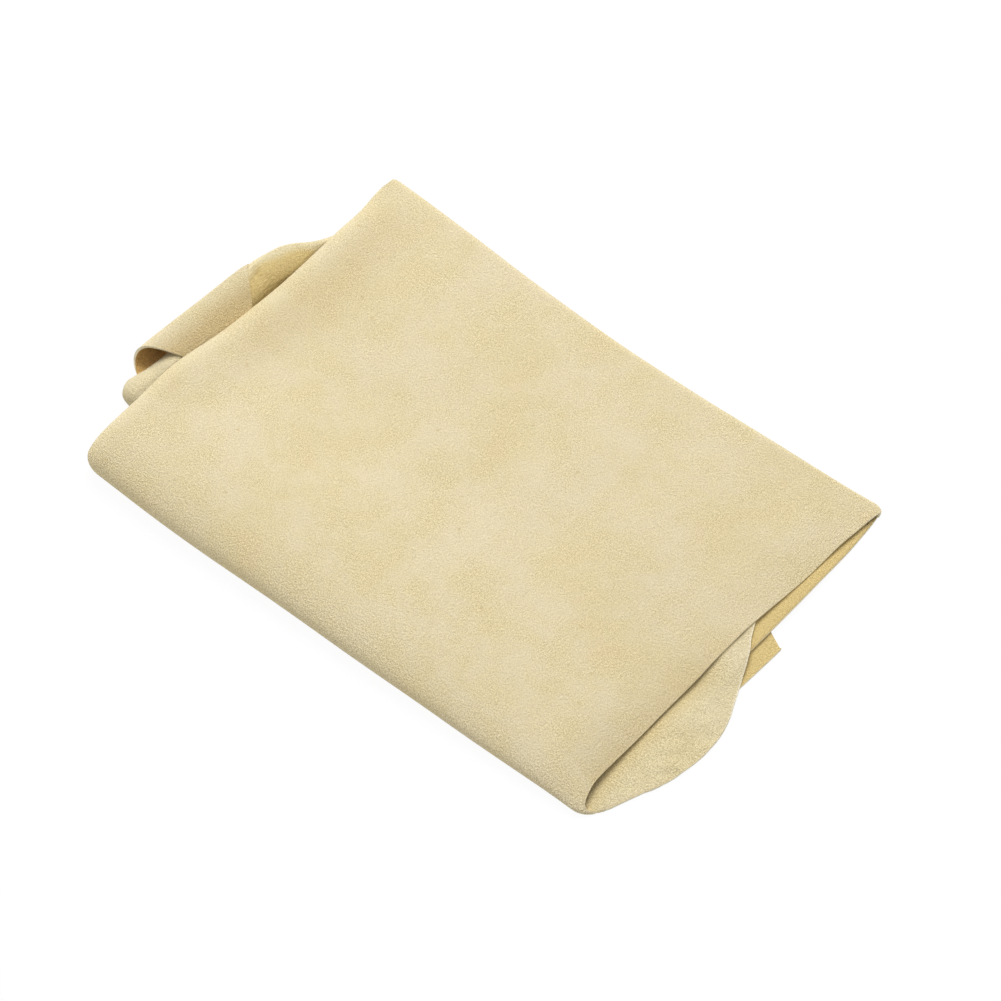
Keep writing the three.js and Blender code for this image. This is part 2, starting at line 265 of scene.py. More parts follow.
class Edge:
    """A smooth outline through points, walked by share of its length."""

    def __init__(self, points, steps=12):
        walk = [Vector(points[0])]
        for i in range(len(points) - 1):
            p0 = Vector(points[max(i - 1, 0)])
            p1, p2 = Vector(points[i]), Vector(points[i + 1])
            p3 = Vector(points[min(i + 2, len(points) - 1)])
            for k in range(1, steps + 1):
                t = k / steps
                walk.append(
                    0.5 * (2 * p1 + (p2 - p0) * t + (2 * p0 - 5 * p1 + 4 * p2 - p3) * t ** 2
                           + (3 * p1 - p0 - 3 * p2 + p3) * t ** 3)
                )
        self.walk = walk
        self.length = [0.0]
        for a, b in zip(walk, walk[1:]):
            self.length.append(self.length[-1] + (b - a).length)

    def at(self, share):
        want = share * self.length[-1]
        low, high = 0, len(self.length) - 1
        while high - low > 1:
            middle = (low + high) // 2
            if self.length[middle] > want:
                high = middle
            else:
                low = middle
        run = self.length[high] - self.length[low]
        t = (want - self.length[low]) / run if run else 0.0
        return self.walk[low].lerp(self.walk[high], t)


def rounded(t):
    """Fall of a rounded edge: 0 inside, 1 at the very edge."""
    t = min(max(t, 0.0), 1.0)
    return 1.0 - math.sqrt(1.0 - t * t)


def crowd(u):
    """Share of a width, with the columns closer together at both ends."""
    return mix(u, 0.5 - 0.5 * math.cos(math.pi * u), 0.8)


class Shape:
    """The folded skin's own form: each function gives a point of its middle surface."""

    def __init__(self, sizes):
        self.leather = sizes.leather / MM
        self.fold_scale = sizes.front_fold / MM / FRONT_FOLD
        self.back = sizes.back_fold / MM
        self.width = sizes.packet_width / MM
        self.roll_scale = sizes.roll_height / MM / LEG_ROLL
        self.wave = sizes.waviness / MM
        self.half = self.leather / 2
        self.fold_lengths = {}

    def fold_height(self, x):
        return self.fold_scale * through(FOLD_HEIGHT, x) + 0.5 * drift(x, 0, FOLD_WAVES, 3.1)

    def front_line(self, x):
        return through(FRONT_LINE, x) + 0.4 * drift(x, 0, FOLD_WAVES, 7.7)

    def crown(self, x):
        """Where the front fold is highest: place across, height."""
        return self.front_line(x) + through(FOLD_DEPTH, x), self.fold_height(x) - self.half

    def back_middle(self, x):
        """Middle line of the back fold, which draws in at its two rounded corners."""
        start, reach, drawn = BACK_RIGHT_CORNER
        drawn_in = drawn * rounded((x - start) / reach)
        start, reach, drawn = BACK_LEFT_CORNER
        drawn_in += drawn * rounded((start - x) / reach)
        return self.width - self.back / 2 + through(BACK_LINE, x) - drawn_in

    def back_radius(self, x):
        """Radius of the back fold, which is pressed flatter towards its right end."""
        pressed = BACK_PRESS * smooth(60, 150, x)
        return (self.back - self.leather) / 2 - pressed + 0.2 * drift(x, 0, FOLD_WAVES, 5.2)

    def top(self, x, run, left, right):
        """Point of the top leaf, run millimetres behind the front crown."""
        start, crown = self.crown(x)
        to_back = self.back_middle(x) - start - run
        y = start + run
        back = self.half + 2 * self.back_radius(x)
        level = back - SETTLE + RIGHT_RISE * smooth(60, 135, x)
        front_slope = mix(FRONT_SLOPE_LEFT, FRONT_SLOPE_RIGHT, smooth(60, 148, x))
        z = mix(level, crown, smooth(front_slope, 0, run))
        z = mix(z, back, smooth(BACK_SLOPE, 0, to_back))
        over_margin = smooth(30, 60, y) * mix(smooth(150, 116, y), 0.5, smooth(100, 150, y))
        z += MARGIN_RISE * smooth(30, 3, x - left) * over_margin * smooth(0, 40, to_back)
        inside = smooth(12, 50, run) * smooth(0, BACK_SLOPE, to_back)
        z += self.wave * inside * (drift(x, y, 0.011, 1.3) + 0.5 * drift(x, y, 0.03, 4.5))
        z = mix(z, self.lip(x, y, z, right), smooth(0, 14, to_back))
        z -= RIM_FALL * rounded(1 - (x - left) / RIM_WIDTH) * smooth(0, 30, to_back)
        return Vector((x, y, z))

    def lip(self, x, y, z, right):
        """Height near the top leaf's right edge, which droops."""
        return mix(z, min(through(RIGHT_EDGE, y), z), max(1 - (right - x) / LIP_WIDTH, 0) ** 2)

    def tan_and_shade(self, x, y, left, right):
        """Toning of the top leaf: tan along its right edge, partly handled tan and partly painted shade where
        the edge droops, and painted shade in the hollow inside its left edge.
        """
        at_right = max(1 - (right - x) / 22, 0) ** 1.6 * smooth(214, 190, y)
        hollow = smooth(4, 16, x - left) * smooth(46, 18, x - left)
        at_left = hollow * smooth(60, 110, y) * smooth(214, 196, y)
        return {"tan": mix(0.4, 0.1, smooth(95, 140, y)) * at_right + 0.3 * at_left}

    def upper_leather(self, across, y, run_at):
        """The top leaf at a share of its width: its point, its place on the flat skin and its toning."""
        left, right = through(TOP_LEFT, y), through(TOP_RIGHT, y)
        x = mix(left, right, across)
        run = run_at(x)
        point = self.place(self.top(x, run, left, right))
        return point, Vector((x, run)), self.tan_and_shade(x, y, left, right)

    def front_fold(self, x, angle, left, right):
        """Point of the front fold: angle 0 at its crown, pi where it meets the table."""
        line = self.front_line(x)
        across, crown = self.crown(x)
        low = LOW_SHARE * (crown - self.half)
        if angle <= math.pi / 2:
            deep, tall = across - line, crown - self.half - low
            y = across - deep * math.sin(angle)
        else:
            deep, tall = low, low
            y = line + low * (1 - math.sin(angle))
        pressed = (self.lip(x, across, crown, right) - self.half) / (crown - self.half)
        z = self.half + (low + tall * math.cos(angle)) * pressed
        inward = Vector((0, tall * math.sin(angle), -deep * math.cos(angle))).normalized()
        front = math.sin(angle) ** 2
        fall = mix(RIM_FALL * smooth(math.pi * 0.7, 0, angle), FRONT_RIM_FALL, front)
        rim = mix(RIM_WIDTH, FRONT_RIM_WIDTH, front)
        y += self.round_end(x, right) * (front if angle < math.pi / 2 else 1)
        return Vector((x, y, z)) + inward * fall * rounded(1 - (x - left) / rim)

    def round_end(self, x, right):
        """How far back the front fold's line turns at its rounded right end."""
        return END_TURN * rounded(1 - (right - x) / END_WIDTH)

    def fold_ends(self, bent):
        """Left and right ends of the front fold at this share of its bend."""
        left, right = through(TOP_LEFT, CROWN_PLACE), through(TOP_RIGHT, CROWN_PLACE)
        return left, mix(right, FOLD_END, bent ** 0.9)

    def fold_run(self, x, bent):
        """Length of leather from the front crown down to this share of the fold."""
        key = round(x)
        if key not in self.fold_lengths:
            angles = [math.pi * k / FRONT_BEND_ROWS for k in range(FRONT_BEND_ROWS + 1)]
            points = [self.front_fold(key, angle, -NO_EDGE, NO_EDGE) for angle in angles]
            lengths = [0.0]
            for a, b in zip(points, points[1:]):
                lengths.append(lengths[-1] + (b - a).length)
            self.fold_lengths[key] = lengths
        lengths = self.fold_lengths[key]
        step = min(int(bent * FRONT_BEND_ROWS), FRONT_BEND_ROWS - 1)
        return mix(lengths[step], lengths[step + 1], bent * FRONT_BEND_ROWS - step)

    def back_fold(self, across, angle):
        """The back fold: angle 0 where it leaves the top leaf, pi where it meets the back leaf."""
        x = mix(TOP_LEFT[-1][1], TOP_RIGHT[-1][1], across)
        middle, radius = self.back_middle(x), self.back_radius(x)
        point = Vector((x, middle + radius * math.sin(angle), self.half + radius * (1 + math.cos(angle))))
        run = middle - self.crown(x)[0] + radius * angle
        # Towards the back leaf the fold turns to the deeper yellow: painted warm shade inside the fold
        return self.place(point), Vector((x, run)), {"yellow": smooth(0, math.pi / 2, angle)}

    def front_start(self, x, right):
        """Line where the front fold ends and the front leaf begins."""
        low = LOW_SHARE * (self.crown(x)[1] - self.half)
        return self.front_line(x) + low + self.round_end(x, right)

    def front_leaf_height(self, x, y):
        """Height of the front leaf, which lies over the turned corner and is creased on the flap."""
        over_corner = smooth(112, 142, x) * smooth(82, 110, y) * (1 - 0.55 * smooth(151, 158, x))
        loose = 0.5 + 0.5 * drift(x, y, 0.03, 8.1)
        on_flap = smooth(144, 152, x) * smooth(16, 40, y) * smooth(98, 76, y)
        creases = (drift(x, y, 0.07, 2.2) + 0.8 * drift(x, y, 0.16, 6.1)) * on_flap
        lift = 0.5 * loose * smooth(10, 40, y) * smooth(MARGIN_INNER, -120, x) + CORNER_RISE * over_corner
        return self.half + max(0.1 + lift + 0.9 * creases, 0.05)

    def back_leaf_height(self, x, y):
        """Height of the back leaf, which lies over its own turned corner."""
        over_corner = smooth(66, 108, x) * smooth(194, 164, y)
        return self.half + (self.leather + CORNER_GAP) * over_corner

    def margin_height(self, x, y, side, crest, height):
        """Height of the rolled margin: round outside its crest, and inside it a slope or a full roll."""
        if x < crest:
            z = height * math.sqrt(max(1 - ((x - crest) / (side - crest)) ** 2, 0))
        else:
            slope = 0.5 + 0.5 * math.cos(math.pi * (x - crest) / (MARGIN_INNER - crest))
            roll_inner = mix(ROLL_INNER_NEAR, ROLL_INNER_FAR, smooth(124, 152, y))
            full_roll = 1 - rounded((x - crest) / (roll_inner - crest))
            z = mix(self.half, height, mix(slope, full_roll, smooth(112, 126, y) * smooth(178, 162, y)))
        pocket = smooth(108, 116, y) * smooth(140, 128, y)
        pocket *= smooth(0.5, 4, x - crest) * smooth(18, 12, x - crest)
        return max(z - POCKET_DEPTH * pocket, self.half)

    def place(self, point):
        return point * MM + PACKET_ORIGIN


def finish_sheet(name, columns, rows, surface, leather):
    """A sheet of leather over surface(u, v): a point, its place on the flat skin, and the toning there."""
    bm = bmesh.new()
    bmesh.ops.create_grid(bm, x_segments=columns, y_segments=rows, size=0.5)
    flat = bm.loops.layers.uv.new("flat")
    tones = {key: bm.verts.layers.float.new(key) for key in TONES}
    laid = {}
    for vert in bm.verts:
        point, cut, toning_here = surface(vert.co.x + 0.5, vert.co.y + 0.5)
        laid[vert] = cut * MM
        vert.co = point
        for key, amount in toning_here.items():
            vert[tones[key]] = amount
    for face in bm.faces:
        face.smooth = True
        for loop in face.loops:
            loop[flat].uv = laid[loop.vert]
    mesh = bpy.data.meshes.new(name)
    bm.to_mesh(mesh)
    bm.free()
    piece = bpy.data.objects.new(name, mesh)
    bpy.context.scene.collection.objects.link(piece)
    for finish in FINISHES:
        mesh.materials.append(bpy.data.materials[finish])
    thicken = piece.modifiers.new("leather", "SOLIDIFY")
    thicken.thickness = leather
    thicken.offset = 0.0
    thicken.material_offset = FINISHES.index("flesh side")
    thicken.material_offset_rim = FINISHES.index("cut edge")
    solid = bpy.data.meshes.new_from_object(piece.evaluated_get(bpy.context.evaluated_depsgraph_get()))
    piece.modifiers.clear()
    piece.data = solid
    solid.name = name
    bpy.data.meshes.remove(mesh)
    solid.set_sharp_from_angle(angle=SHARP_RIM)
    return piece


def length_property(name, description, millimetres):
    return bpy.props.FloatProperty(
        name=name, description=description, default=millimetres * MM, unit="LENGTH")


class ChamoisSizes(bpy.types.PropertyGroup):
    """Sizes of the folded packet."""

    leather: length_property("Leather", "Thickness of the skin", LEATHER)
    packet_width: length_property("Packet width", "From the front fold to the back fold", PACKET_WIDTH)
    front_fold: length_property("Front fold", "Height of the soft front fold", FRONT_FOLD)
    back_fold: length_property("Back fold", "Height of the back fold", BACK_FOLD)
    roll_height: length_property("Roll height", "Height of the rolled leg", LEG_ROLL)
    waviness: length_property("Waviness", "Slow waves in the top leaf", WAVINESS)


def srgb(*levels):
    """Linear colour of 0 to 255 levels."""
    return tuple(
        (c / 255 / 12.92) if c <= 10 else ((c / 255 + 0.055) / 1.055) ** 2.4 for c in levels
    )


def colour_property(name, description, *levels):
    return bpy.props.FloatVectorProperty(
        name=name, description=description, subtype="COLOR", size=3, min=0, max=1, default=srgb(*levels))


class ChamoisColours(bpy.types.PropertyGroup):
    """Colours of the skin and of the stage."""

    grain: colour_property("Grain side", "Smooth outer side", 235, 221, 185)
    grain_tan: colour_property("Grain side, tan", "Darker clouds of the outer side", 231, 215, 171)
    blush: colour_property("Grain side, blush", "Faint warm stains of the outer side", 235, 211, 167)
    # Partly handled tan, partly painted shade: it darkens the top leaf's drooping right edge, the hollow
    # inside its left edge and the rolled leg's arm, and it also colours a few small real marks
    tan_and_shade: colour_property("Handled tan", "Where hands and folds have darkened it", 211, 187, 136)
    flesh: colour_property("Flesh side", "Rough inner side", 231, 218, 181)
    flesh_tan: colour_property("Flesh side, tan", "Darker clouds of the inner side", 226, 211, 168)
    # Painted warm shade: this deeper yellow stands in for the saturated light bounced between layers, on the
    # back leaf, the turned corner, the back fold's inside, the margin's flank and the flap under the top
    # leaf's edge
    yellow: colour_property("Yellow layer", "Deeper yellow of the back leaf and the margin", 223, 199, 138)
    # Painted warm shade: this warm brown stands in for the shade and bounced light inside the rolled leg's
    # mouth
    warm: colour_property("Warm brown", "Inner side of the rolled leg", 226, 185, 117)
    edge: colour_property("Cut edge", "Pale fibres of the cut edge", 243, 233, 204)
    floor: colour_property("Floor", "Plain stage", 250, 250, 250)


class Nodes:
    """Short names for adding and joining shader nodes."""

    def __init__(self, material):
        material.use_nodes = True
        self.tree = material.node_tree
        self.tree.nodes.clear()

    def add(self, kind, **settings):
        node = self.tree.nodes.new("ShaderNode" + kind)
        for key, value in settings.items():
            setattr(node, key, value)
        return node

    def join(self, source, target):
        self.tree.links.new(source, target)

    def cloud(self, vector, scale, detail, roughness=0.55):
        node = self.add("TexNoise", noise_dimensions="2D")
        node.inputs["Scale"].default_value = scale
        node.inputs["Detail"].default_value = detail
        node.inputs["Roughness"].default_value = roughness
        self.join(vector, node.inputs["Vector"])
        return node.outputs["Fac"]

    def spots(self, vector, scale):
        """Distance from the nearest of a few scattered points."""
        node = self.add("TexVoronoi", voronoi_dimensions="2D")
        node.inputs["Scale"].default_value = scale
        self.join(vector, node.inputs["Vector"])
        return node.outputs["Distance"]

    def span(self, value, low, high, to_low=0.0, to_high=1.0):
        node = self.add("MapRange", interpolation_type="SMOOTHSTEP")
        for key, number in zip(("From Min", "From Max", "To Min", "To Max"), (low, high, to_low, to_high)):
            node.inputs[key].default_value = number
        self.join(value, node.inputs["Value"])
        return node.outputs["Result"]

    def blend(self, factor, a, b, kind="MIX"):
        """Colour a turning to b by the factor; each colour is a socket or three numbers."""
        node = self.add("Mix", data_type="RGBA", blend_type=kind)
        self.join(factor, node.inputs[MIX_FACTOR])
        for key, value in ((MIX_A, a), (MIX_B, b)):
            if isinstance(value, bpy.types.NodeSocket):
                self.join(value, node.inputs[key])
            else:
                node.inputs[key].default_value = (*value, 1.0)
        return node.outputs[MIX_RESULT]

    def sum(self, a, b, weight):
        node = self.add("Math", operation="MULTIPLY_ADD")
        self.join(b, node.inputs[0])
        node.inputs[1].default_value = weight
        self.join(a, node.inputs[2])
        return node.outputs[0]

    def suede(self, colour, height, depth, roughness, sheen):
        shader = self.add("BsdfPrincipled")
        shader.inputs["Roughness"].default_value = roughness
        shader.inputs["Specular IOR Level"].default_value = 0.15
        shader.inputs["Sheen Weight"].default_value = sheen
        shader.inputs["Sheen Roughness"].default_value = 0.5
        shader.inputs["Sheen Tint"].default_value = SHEEN_TINT
        self.join(colour, shader.inputs["Base Color"])
        bump = self.add("Bump")
        bump.inputs["Strength"].default_value = 1.0
        bump.inputs["Distance"].default_value = depth
        self.join(height, bump.inputs["Height"])
        self.join(bump.outputs["Normal"], shader.inputs["Normal"])
        out = self.add("OutputMaterial")
        self.join(shader.outputs[0], out.inputs["Surface"])


def flat_place(nodes):
    return nodes.add("UVMap", uv_map="flat").outputs["UV"]


def toning(nodes, key):
    return nodes.add("Attribute", attribute_name=key).outputs["Fac"]


def nap_strength(nodes, place, scale):
    """How much the nap stands up: patchy all over, more where a sheet is toned rough."""
    patches = nodes.span(nodes.cloud(place, scale, detail=4, roughness=0.6), 0.35, 0.68, to_low=0.5)
    return nodes.sum(patches, toning(nodes, "rough"), 0.45)


def grain_side(colours):
    """The smooth outer side: pale, softly clouded, with a fine short nap."""
    nodes = Nodes(bpy.data.materials.new("grain side"))
    place = flat_place(nodes)
    clouds = nodes.span(nodes.cloud(place, scale=22, detail=9, roughness=0.74), 0.32, 0.68)
    stains = nodes.span(nodes.cloud(place, scale=24, detail=3, roughness=0.5), 0.62, 0.8, to_high=0.35)
    marks = nodes.span(nodes.spots(place, scale=19), 0.012, 0.024, to_low=0.4, to_high=0.0)
    rough = nap_strength(nodes, place, scale=45)
    nap = nodes.cloud(place, scale=1800, detail=2, roughness=0.7)
    fibre = nodes.cloud(place, scale=900, detail=3, roughness=0.65)
    colour = nodes.blend(clouds, colours.grain, colours.grain_tan)
    colour = nodes.blend(stains, colour, colours.blush)
    # Tan toning: partly handled tan, partly painted shade along the top leaf's right edge, in its left hollow
    # and on the rolled leg's arm
    colour = nodes.blend(toning(nodes, "tan"), colour, colours.tan_and_shade)
    colour = nodes.blend(marks, colour, colours.tan_and_shade)
    shade = nodes.span(nodes.sum(nap, fibre, 0.25), 0.45, 0.8)
    colour = nodes.blend(rough, colour, nodes.blend(shade, *GRAIN_NAP), "MULTIPLY")
    nodes.suede(colour, nodes.sum(fibre, nap, 0.3), depth=0.8 * MM, roughness=0.95, sheen=0.12)


def flesh_side(colours):
    """The rough inner side: a longer, looser nap; the back leaf and the margin are a deeper yellow, which is
    painted warm shade.
    """
    nodes = Nodes(bpy.data.materials.new("flesh side"))
    place = flat_place(nodes)
    clouds = nodes.span(nodes.cloud(place, scale=20, detail=9, roughness=0.72), 0.3, 0.7)
    rough = nap_strength(nodes, place, scale=60)
    nap = nodes.cloud(place, scale=1600, detail=2, roughness=0.7)
    fibre = nodes.cloud(place, scale=700, detail=4, roughness=0.7)
    colour = nodes.blend(clouds, colours.flesh, colours.flesh_tan)
    # Painted shade and highlight: the yellow and warm tones stand in for the warm shade under folds and
    # inside the leg, the pale tone for light caught along the flap's edge
    colour = nodes.blend(toning(nodes, "yellow"), colour, colours.yellow)
    colour = nodes.blend(toning(nodes, "warm"), colour, colours.warm)
    colour = nodes.blend(toning(nodes, "pale"), colour, colours.edge)
    shade = nodes.span(nodes.sum(nap, fibre, 0.3), 0.5, 0.8)
    colour = nodes.blend(rough, colour, nodes.blend(shade, *FLESH_NAP), "MULTIPLY")
    nodes.suede(colour, nodes.sum(fibre, nap, 0.3), depth=0.9 * MM, roughness=1.0, sheen=0.12)


def cut_edge(colours):
    """The cut through the skin: pale loose fibres."""
    nodes = Nodes(bpy.data.materials.new("cut edge"))
    place = nodes.add("TexCoord").outputs["Object"]
    fibre = nodes.cloud(place, scale=900, detail=3)
    colour = nodes.blend(nodes.span(fibre, 0.3, 0.7), colours.edge, colours.flesh)
    nodes.suede(colour, fibre, depth=0.3 * MM, roughness=1.0, sheen=0.2)


def floor_finish(colours):
    """Plain pale floor, mostly white where the camera, a gloss or a glass sees it."""
    material = bpy.data.materials.new("floor")
    nodes = Nodes(material)
    diffuse = nodes.add("BsdfDiffuse")
    diffuse.inputs["Color"].default_value = (*colours.floor, 1.0)
    white = nodes.add("Emission")
    both = nodes.add("MixShader")
    ray = nodes.add("LightPath").outputs
    seen = ray["Is Camera Ray"]
    for kind in ("Is Glossy Ray", "Is Transmission Ray"):
        either = nodes.add("Math", operation="MAXIMUM")
        nodes.join(seen, either.inputs[0])
        nodes.join(ray[kind], either.inputs[1])
        seen = either.outputs[0]
    share = nodes.add("Math", operation="MULTIPLY")
    share.inputs[1].default_value = FLOOR_WHITE
    nodes.join(seen, share.inputs[0])
    nodes.join(share.outputs[0], both.inputs[0])
    nodes.join(diffuse.outputs[0], both.inputs[1])
    nodes.join(white.outputs[0], both.inputs[2])
    nodes.join(both.outputs[0], nodes.add("OutputMaterial").inputs["Surface"])
    return material


class CHAMOIS_OT_leather(bpy.types.Operator):
    """Mixes the finishes of the skin's two sides and its cut edge"""

    bl_idname = "chamois.leather"
    bl_label = "Leather finishes"

    def execute(self, context):
        colours = context.scene.chamois_colours
        grain_side(colours)
        flesh_side(colours)
        cut_edge(colours)
        return {"FINISHED"}


class CHAMOIS_OT_upper_skin(bpy.types.Operator):
    """Top leaf and the back fold, as one run of leather"""

    bl_idname = "chamois.upper_skin"
    bl_label = "Upper skin"

    def execute(self, context):
        sizes = context.scene.chamois_sizes
        shape = Shape(sizes)
        rows = TOP_ROWS + BACK_BEND_ROWS

        def surface(u, v):
            row = v * rows
            across = crowd(u)
            if row > TOP_ROWS:
                return shape.back_fold(across, math.pi * (row - TOP_ROWS) / BACK_BEND_ROWS)
            share = row / TOP_ROWS

            def run_at(x):
                return mix(CUT_LINE, shape.back_middle(x) - shape.crown(x)[0], share)

            return shape.upper_leather(across, mix(CUT_PLACE, shape.width, share), run_at)

        piece = finish_sheet("upper_skin", COLUMNS, rows, surface, sizes.leather)
        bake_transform(piece)
        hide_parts("top_leaf", "back_bend")
        return {"FINISHED"}


class CHAMOIS_OT_back_leaf(bpy.types.Operator):
    """Back leaf, from the back fold to its cut edge under the packet"""

    bl_idname = "chamois.back_leaf"
    bl_label = "Back leaf"

    def execute(self, context):
        sizes = context.scene.chamois_sizes
        shape = Shape(sizes)
        cut = Edge(BACK_CUT)

        def surface(u, v):
            x = mix(TOP_LEFT[-1][1], TOP_RIGHT[-1][1], crowd(u))
            middle, radius = shape.back_middle(x), shape.back_radius(x)
            end = cut.at(u)
            point = Vector((mix(x, end.x, v), mix(middle, end.y, v), 0))
            point.x += BACK_BULGE * math.sin(math.pi * v ** 0.7) * smooth(0.8, 1, u)
            point.z = shape.back_leaf_height(point.x, point.y)
            run = middle - shape.crown(x)[0] + radius * math.pi + middle - point.y
            # The whole back leaf takes the deeper yellow: painted warm shade beneath the top leaf
            return shape.place(point), Vector((point.x, run)), {"yellow": 1.0}

        piece = finish_sheet("back_leaf_skin", COLUMNS, BACK_LEAF_ROWS, surface, sizes.leather)
        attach(piece, "back")
        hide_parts("back_leaf")
        return {"FINISHED"}


class CHAMOIS_OT_front_fold(bpy.types.Operator):
    """Soft front fold, from the top leaf's crown down to the table"""

    bl_idname = "chamois.front_fold"
    bl_label = "Front fold"

    def execute(self, context):
        sizes = context.scene.chamois_sizes
        shape = Shape(sizes)
        rows = LIP_ROWS + FRONT_BEND_ROWS

        def surface(u, v):
            row = (1 - v) * rows
            across = crowd(u)
            if row < LIP_ROWS:
                run = CUT_LINE * (1 - row / LIP_ROWS)
                return shape.upper_leather(across, mix(CROWN_PLACE, CUT_PLACE, run / CUT_LINE), lambda x: run)
            bent = (row - LIP_ROWS) / FRONT_BEND_ROWS
            left, right = shape.fold_ends(bent)
            x = mix(left, right, across)
            point = shape.front_fold(x, math.pi * bent, left, right)
            flat = Vector((x, -shape.fold_run(x, bent)))
            return shape.place(point), flat, {"rough": smooth(0.05, 0.4, bent)}

        piece = finish_sheet("front_fold_skin", FINE_COLUMNS, rows, surface, sizes.leather)
        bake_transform(piece)
        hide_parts("front_bend")
        return {"FINISHED"}


class CHAMOIS_OT_front_leaf(bpy.types.Operator):
    """Front leaf under the packet, out to its natural edge and the flap on the right"""

    bl_idname = "chamois.front_leaf"
    bl_label = "Front leaf"

    def execute(self, context):
        sizes = context.scene.chamois_sizes
        shape = Shape(sizes)
        edge = Edge(NATURAL_EDGE)
        left, right = shape.fold_ends(1)

        def surface(u, v):
            x = mix(left, right, crowd(u))
            share = 1 - v ** 1.6
            end = edge.at(u)
            start = shape.front_start(x, right)
            point = Vector((mix(x, end.x, share), mix(start, end.y, share), 0))
            height = shape.front_leaf_height(point.x, point.y)
            point.z = mix(shape.half, height, smooth(0, 8, point.y - start))
            flat = Vector((point.x, start - point.y - shape.fold_run(x, 1)))
            # Painted highlight: a pale band in the cut edge's colour along the flap's natural edge. Painted
            # shade: a deeper yellow on the flap beside and under the top leaf's right edge
            pale = smooth(1.5, 0.3, (point.xy - end).length) * smooth(70, 90, point.y)
            out = point.x - through(TOP_RIGHT, point.y)
            lip_shade = smooth(11, 0, out) * smooth(-22, -2, out) * smooth(115, 90, point.y)
            tones = {"pale": pale, "yellow": 0.5 * lip_shade, "rough": smooth(90, 40, point.y)}
            return shape.place(point), flat, tones

        piece = finish_sheet("front_leaf_skin", FINE_COLUMNS, LEAF_ROWS, surface, sizes.leather)
        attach(piece, "front")
        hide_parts("front_leaf")
        return {"FINISHED"}


class CHAMOIS_OT_rolled_margin(bpy.types.Operator):
    """Left margin of the front leaf, rolled into a soft finger beside the packet"""

    bl_idname = "chamois.rolled_margin"
    bl_label = "Rolled margin"

    def execute(self, context):
        sizes = context.scene.chamois_sizes
        shape = Shape(sizes)
        near, far = MARGIN_SIDE[0][0], MARGIN_SIDE[-1][0]

        def surface(u, v):
            y = mix(near, far, mix(1 - math.cos(v * math.pi / 2), v, 0.6))
            side, height = through(MARGIN_SIDE, y), through(MARGIN_HEIGHT, y)
            crest = max(through(MARGIN_CREST, y), side + CREST_INSET)
            x = mix(MARGIN_INNER, side, math.sin(u * math.pi / 2))
            z = shape.margin_height(x, y, side, crest, height)
            # Painted shade: inside its crest the far part of the margin turns deeper yellow, darkening the
            # flank that falls towards the top leaf
            top_band = smooth(132, 146, y)
            deep = smooth(mix(-0.5, 1.5, top_band), mix(4, 6.5, top_band), x - crest)
            around = x - z if x > crest else x + z - 2 * height
            along = y + height * (smooth(100, 80, y) - smooth(120, 140, y))
            flat = Vector((around, MARGIN_FLAT + along))
            return shape.place(Vector((x, y, z))), flat, {"yellow": deep * smooth(105, 122, y)}

        piece = finish_sheet("rolled_margin_skin", ROLL_COLUMNS, MARGIN_ROWS, surface, sizes.leather)
        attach(piece, "front")
        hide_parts("rolled_margin")
        return {"FINISHED"}


class CHAMOIS_OT_rolled_leg(bpy.types.Operator):
    """Leg of the skin on the left, rolled over towards the packet"""

    bl_idname = "chamois.rolled_leg"
    bl_label = "Rolled leg"

    def execute(self, context):
        sizes = context.scene.chamois_sizes
        shape = Shape(sizes)

        def surface(u, v):
            foot_y = mix(LEG_NEAR, LEG_FAR, v)
            run = mix(-LEG_UNDER, through(LEG_RUN, foot_y), u)
            y = foot_y + LEG_SLANT * max(run, 0) * smooth(0.4, 0.0, v)
            foot = through(LEG_FOOT, y)
            bulge = shape.roll_scale * through(LEG_BULGE, y)
            rise = shape.roll_scale * through(LEG_RISE, y)
            bend = math.pi * rise
            if run < 0:
                x, z = foot - run, shape.half
            elif run <= bend:
                angle = run / rise
                x, z = foot - bulge * math.sin(angle), shape.half + rise * (1 - math.cos(angle))
            else:
                share = (run - bend) / LEG_ARM
                drop = mix(LEG_DROP_NEAR, LEG_DROP_FAR, smooth(60, 85, y))
                x, z = foot + LEG_REACH * share, shape.half + 2 * rise - drop * share ** 1.8
            flat = Vector((foot - run, LEG_FLAT - y))
            # Painted shade: tan darkens the arm towards the top leaf's edge, and the warm brown of the leg's
            # inner side stands in for the warm shade and bounced light inside its mouth
            return shape.place(Vector((x, y, z))), flat, {"tan": 0.8 * smooth(17, 30, run), "warm": 1.0}

        piece = finish_sheet("rolled_leg", ROLL_COLUMNS, LEG_ROWS, surface, sizes.leather)
        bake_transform(piece)
        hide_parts("leg_bend", "leg_end")
        return {"FINISHED"}


class CHAMOIS_OT_turned_corner(bpy.types.Operator):
    """Corner of the back leaf, turned under and showing on the right"""

    bl_idname = "chamois.turned_corner"
    bl_label = "Turned corner"

    def execute(self, context):
        sizes = context.scene.chamois_sizes
        shape = Shape(sizes)
        near, far = Edge(CORNER_NEAR), Edge(CORNER_FAR)

        def surface(u, v):
            x, y = far.at(u).lerp(near.at(u), v)
            # The turned corner takes the deeper yellow: painted warm shade beneath the layers above it
            return shape.place(Vector((x, y, shape.half))), Vector((x, CORNER_FLAT + y)), {"yellow": 1.0}

        piece = finish_sheet("turned_corner_skin", CORNER_COLUMNS, CORNER_ROWS, surface, sizes.leather)
        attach(piece, "back")
        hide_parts("turned_corner", "corner_bend")
        return {"FINISHED"}


